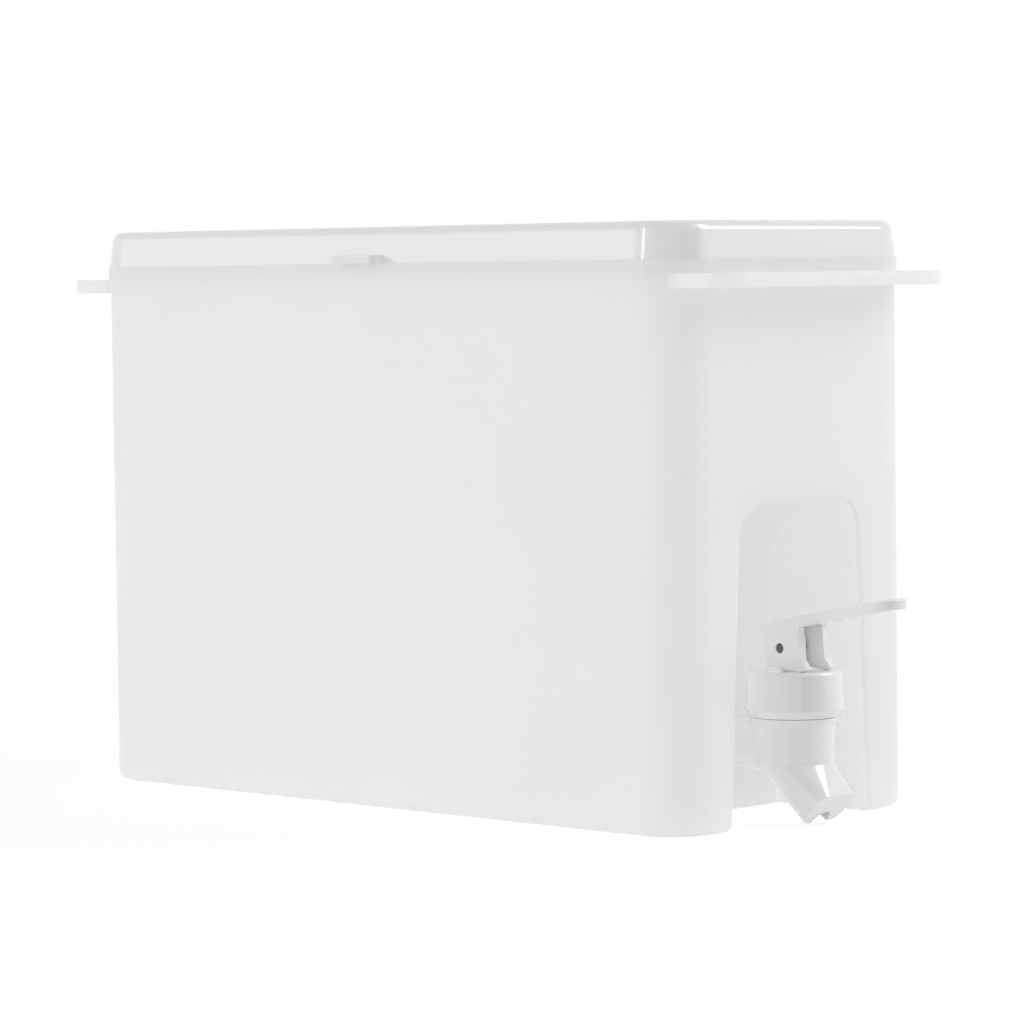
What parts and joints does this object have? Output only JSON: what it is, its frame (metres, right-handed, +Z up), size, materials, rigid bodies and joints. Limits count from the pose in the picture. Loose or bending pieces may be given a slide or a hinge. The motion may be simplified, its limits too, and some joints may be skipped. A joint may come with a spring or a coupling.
{
  "type": "carboy with spigot",
  "caption": "Slim rectangular translucent liquid carboy with lift-off lid, lifting ledges and a spring-closed lever spigot set in a niche at the foot.",
  "frame": {"origin": "middle of the tank's footprint, on the surface it stands on", "axes": "+X along the tank towards the tap, +Y across it, +Z up"},
  "size_m": [0.302, 0.1147, 0.175],
  "materials": {
    "frosted_tank": "frosted, milky translucent",
    "clear_lid": "polished, lightly milky",
    "tap_white": "polished opaque white",
    "silicone": "satin translucent white",
    "spring_steel": "drawn wire",
    "pin_steel": "plain turned"
  },
  "bodies": {
    "tank": {"tank": "frosted_tank", "outer_washer": "silicone", "inner_washer": "silicone", "lock_nut": "tap_white", "tap_body": "tap_white", "bonnet": "tap_white"},
    "lid": {"lid": "clear_lid"},
    "stem": {"stem": "tap_white", "seat_cup": "silicone", "spring": "spring_steel"},
    "lever": {"lever": "tap_white", "lever_pin": "pin_steel"}
  },
  "joints": [
    {"name": "lid_lift", "type": "slide", "parent": "tank", "child": "lid", "axis": [0, 0, 1], "range_m": [0, 0.06]},
    {"name": "stem_lift", "type": "slide", "parent": "tank", "child": "stem", "axis": [0, 0, 1], "range_m": [0, 0.00244], "stiffness_N_per_m": 600, "springref_m": -0.003, "deforming": ["spring"]},
    {"name": "lever_press", "type": "hinge", "parent": "stem", "child": "lever", "pos_m": [0.1212, 0, 0.05115], "axis": [0, 1, 0], "range_deg": [0, 20]}
  ],
  "couplings": [
    {"joint": "lever_press", "follows": "stem_lift", "rad_per_m": 142.86}
  ]
}
